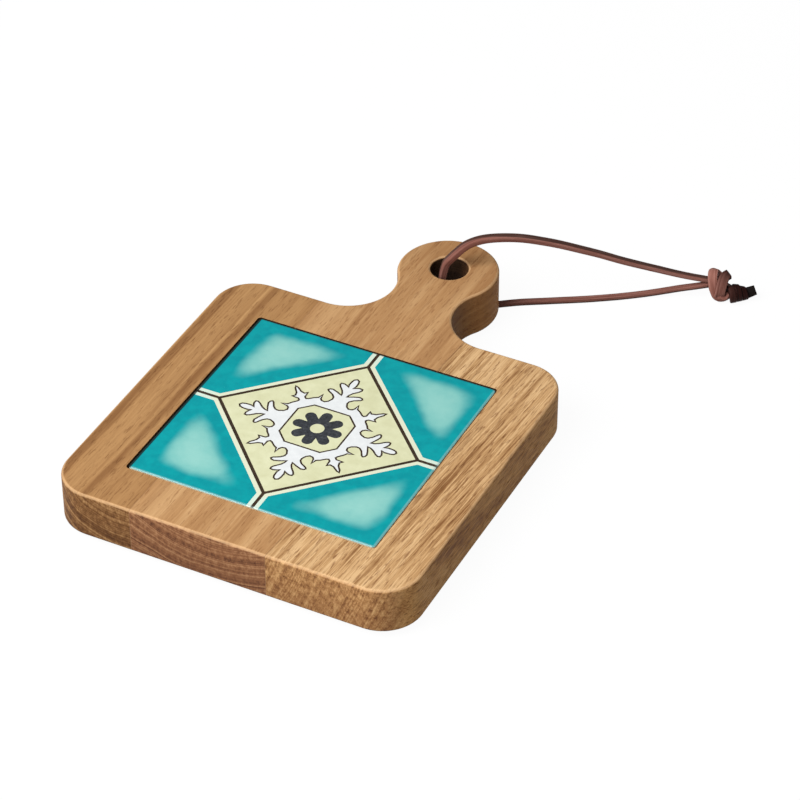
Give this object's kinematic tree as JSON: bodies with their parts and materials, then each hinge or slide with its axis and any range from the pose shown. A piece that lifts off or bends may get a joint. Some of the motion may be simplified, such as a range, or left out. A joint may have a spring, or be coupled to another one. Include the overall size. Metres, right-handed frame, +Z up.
{
  "type": "trivet",
  "caption": "Square wooden trivet with an inset glazed tile, a round-headed handle with a hole, rubber feet and a knotted leather hanging lace.",
  "frame": {"origin": "on the surface that the feet stand on, under the middle of the board's and handle's box; the lace isn't counted", "axes": "+Z up, square to the tile's face; +Y along the board from its front edge to the handle's tip; +X to the right seen from above with the handle pointing away"},
  "size_m": [0.1914, 0.2698, 0.0387],
  "materials": {
    "wood_left": "oiled",
    "wood_middle": "oiled",
    "wood_right": "oiled",
    "wood_glue": "matt",
    "fired_clay": "matt",
    "turquoise_glaze": "gloss",
    "cream_glaze": "gloss",
    "white_glaze": "gloss",
    "black_glaze": "satin",
    "tile_adhesive": "matt",
    "foot_rubber": "matt",
    "lace_leather": "waxed"
  },
  "bodies": {
    "board": {"stave_left": "wood_left", "stave_middle": "wood_middle", "stave_right": "wood_right", "glue_line_left": "wood_glue", "glue_line_right": "wood_glue", "tile_body": "fired_clay", "turquoise_glaze": "turquoise_glaze", "cream_glaze": "cream_glaze", "white_glaze": "white_glaze", "black_glaze": "black_glaze", "tile_adhesive": "tile_adhesive", "foot_front_left": "foot_rubber", "foot_front_right": "foot_rubber", "foot_far_left": "foot_rubber", "foot_far_right": "foot_rubber"},
    "loop": {"lace_upper_run": "lace_leather", "lace_lower_run": "lace_leather", "lace_knot": "lace_leather", "lace_long_tail": "lace_leather"}
  },
  "joints": [
    {"name": "loop_swing", "type": "hinge", "parent": "board", "child": "loop", "pos_m": [0.0009, 0.0886, 0.0136], "axis": [0, 0, 1], "range_deg": [-60, 175]}
  ]
}
